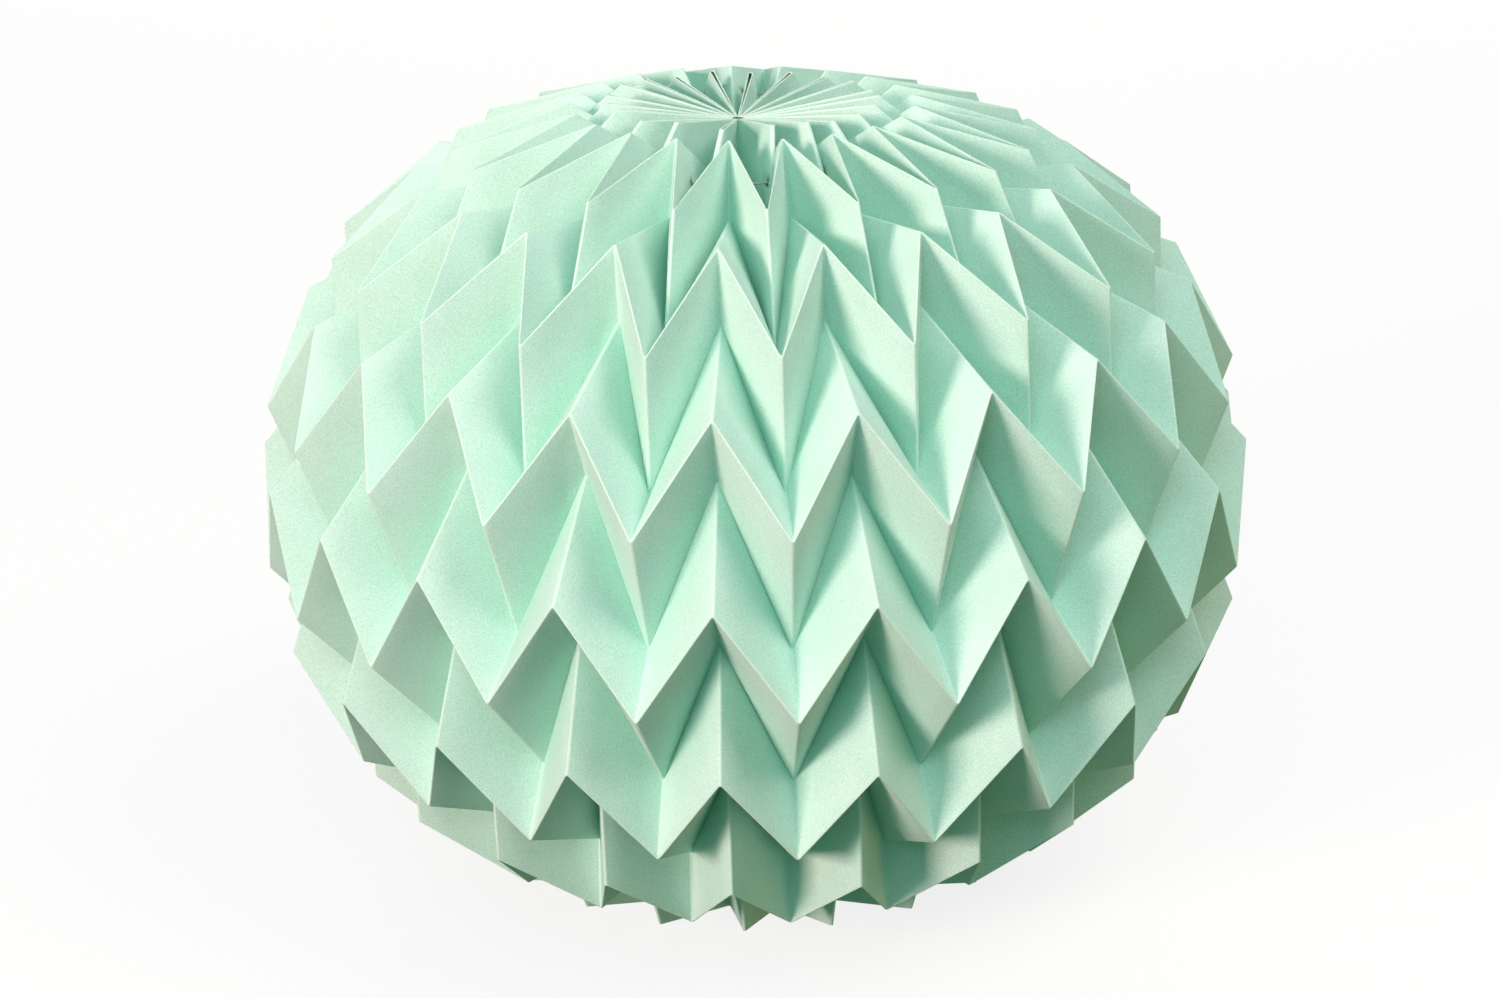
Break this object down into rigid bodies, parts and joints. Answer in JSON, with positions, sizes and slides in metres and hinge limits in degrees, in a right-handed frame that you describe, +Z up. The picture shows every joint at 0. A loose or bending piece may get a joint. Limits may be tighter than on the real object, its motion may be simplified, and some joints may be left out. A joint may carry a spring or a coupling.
{
  "type": "folded paper ball",
  "caption": "Squat hollow ball pleated from one sheet of mint card, with zigzag folds all round and both ends drawn together by a thread through punched holes.",
  "frame": {"origin": "on the ball's axis, level with the lowest pleat tips, on which it stands", "axes": "Z up through both gathered poles; minus Y faces the viewer, through a column where the mountain zigzags peak"},
  "size_m": [0.2918, 0.2926, 0.2397],
  "materials": {
    "mint_card": "uncoated mint green card, matte, with a fine grain",
    "thread": "pale twisted cotton thread"
  },
  "bodies": {
    "root": {"folded_card_ball": "mint_card", "top_gathering_thread": "thread", "bottom_gathering_thread": "thread"}
  },
  "joints": []
}
